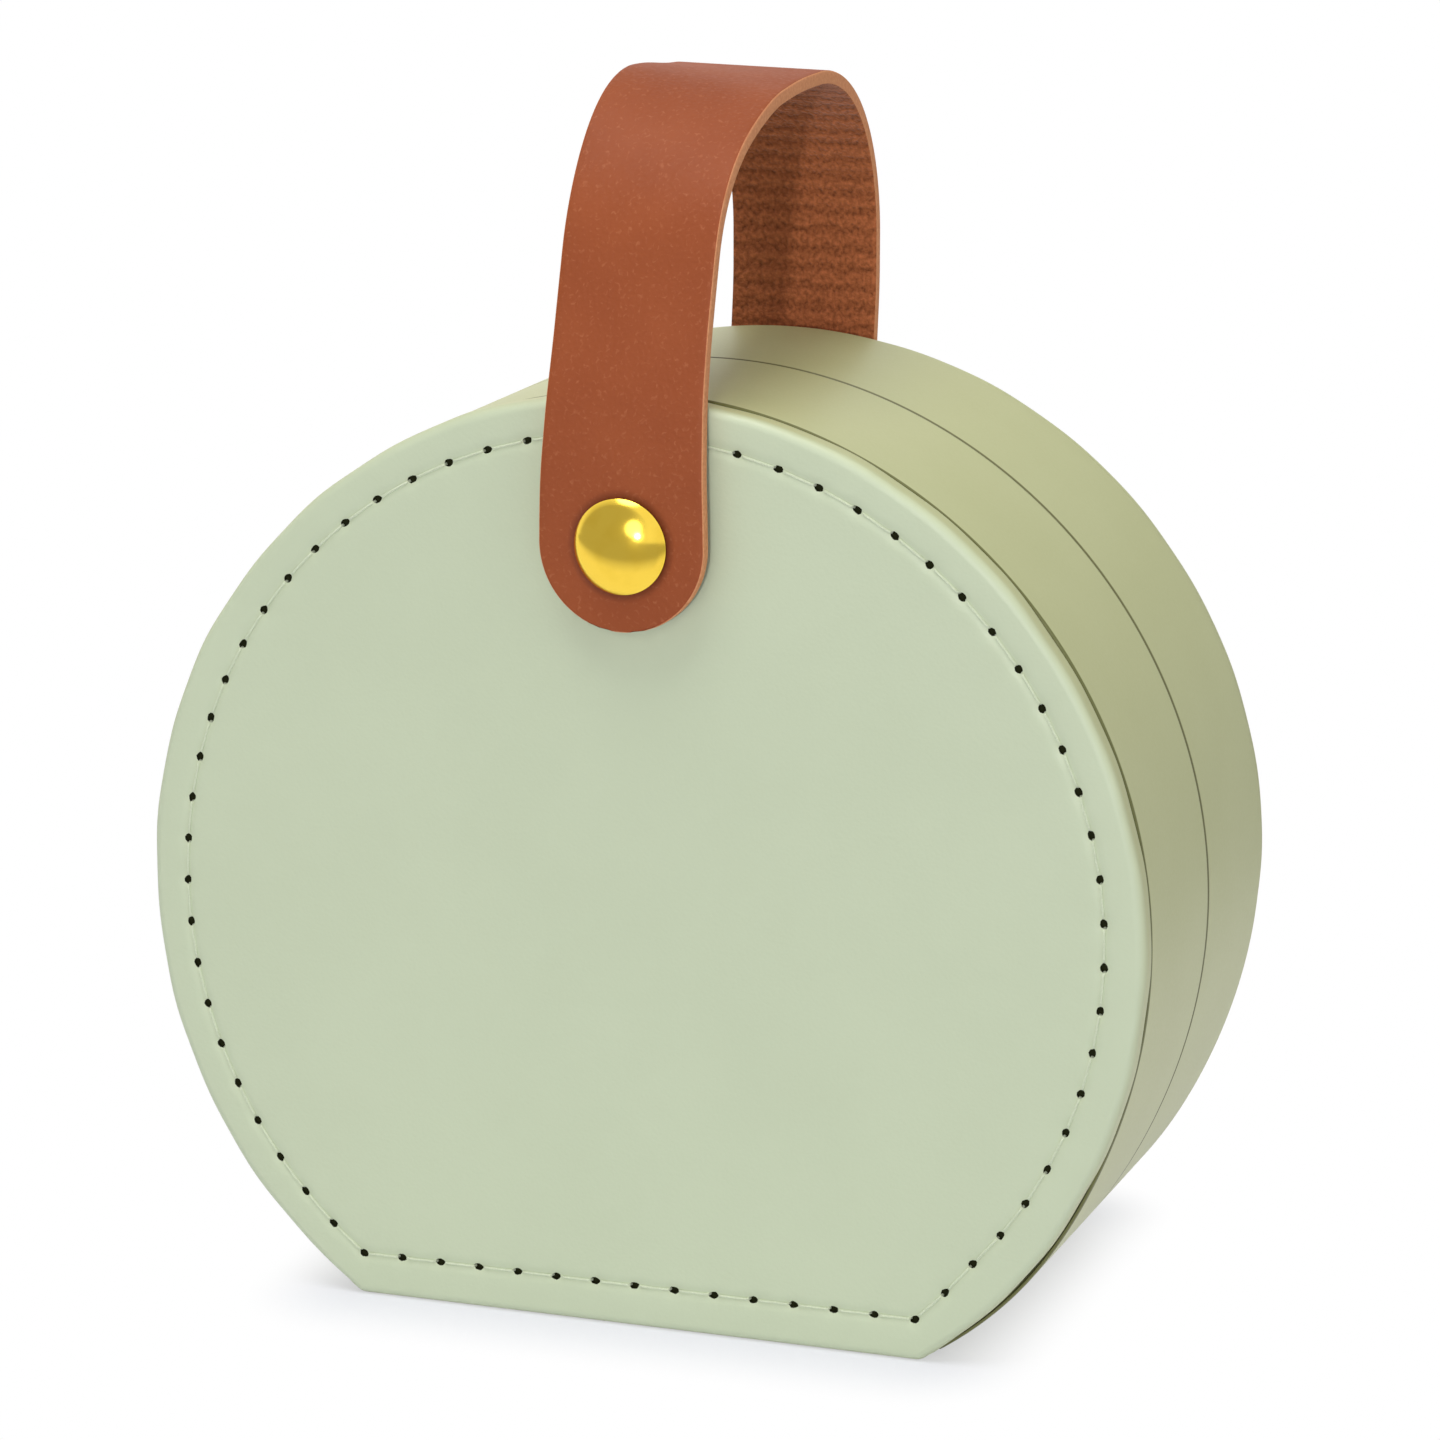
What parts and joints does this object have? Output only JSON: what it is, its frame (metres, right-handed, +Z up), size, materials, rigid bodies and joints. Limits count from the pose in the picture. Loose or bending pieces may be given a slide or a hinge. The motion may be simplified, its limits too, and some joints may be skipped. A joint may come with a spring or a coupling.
{
  "type": "travel jewellery box",
  "caption": "Round clamshell jewellery case with a flat foot, a hinge strip below, stitched panels, a strap handle that snaps to the lid, ring rolls and a mirror.",
  "frame": {"origin": "middle of the flat foot, on the surface that the case stands on and in the plane where its halves part", "axes": "+X to the right seen from the front, +Y to the back, +Z up"},
  "size_m": [0.11, 0.0603, 0.1304],
  "materials": {
    "leatherette": "satin",
    "strap_leather": "satin",
    "gold_metal": "polished",
    "greyboard": "matte",
    "shell": "matte",
    "velvet": "matte",
    "mirror": "polished"
  },
  "bodies": {
    "base": {"rear_shell": "shell", "rear_rim_cover": "leatherette", "back_panel_board": "greyboard", "back_panel_cover": "leatherette", "base_lining": "velvet", "lower_shelf": "velvet", "upper_shelf": "velvet", "left_partition": "velvet", "right_partition": "velvet", "lower_partition": "velvet", "ring_roll_1": "velvet", "ring_roll_2": "velvet", "ring_roll_3": "velvet", "ring_roll_4": "velvet", "hinge_leaf_rear": "leatherette", "strap_heel": "strap_leather", "rivet_cap": "gold_metal", "rivet_post": "gold_metal"},
    "lid": {"front_shell": "shell", "front_rim_cover": "leatherette", "front_panel_board": "greyboard", "front_panel_cover": "leatherette", "lid_lining": "velvet", "lid_pad": "velvet", "mirror": "mirror", "hinge_leaf_front": "leatherette", "snap_stud": "gold_metal", "snap_post": "gold_metal"},
    "strap_arch": {"strap_arch": "strap_leather"},
    "strap_tongue": {"strap_tongue": "strap_leather", "snap_cap": "gold_metal", "snap_socket": "gold_metal"}
  },
  "joints": [
    {"name": "lid_hinge", "type": "hinge", "parent": "base", "child": "lid", "pos_m": [0, 0, 0], "axis": [1, 0, 0], "range_deg": [0, 100]},
    {"name": "strap_bend_rear", "type": "hinge", "parent": "base", "child": "strap_arch", "pos_m": [0, 0.015, 0.12915], "axis": [-1, 0, 0], "range_deg": [0, 140]},
    {"name": "strap_bend_front", "type": "hinge", "parent": "strap_arch", "child": "strap_tongue", "pos_m": [0, -0.01487, 0.12744], "axis": [-1, 0, 0], "range_deg": [0, 140]}
  ],
  "couplings": [
    {"joint": "strap_bend_rear", "follows": "lid_hinge", "ratio": 1.4},
    {"joint": "strap_bend_front", "follows": "lid_hinge", "ratio": 1.4}
  ]
}
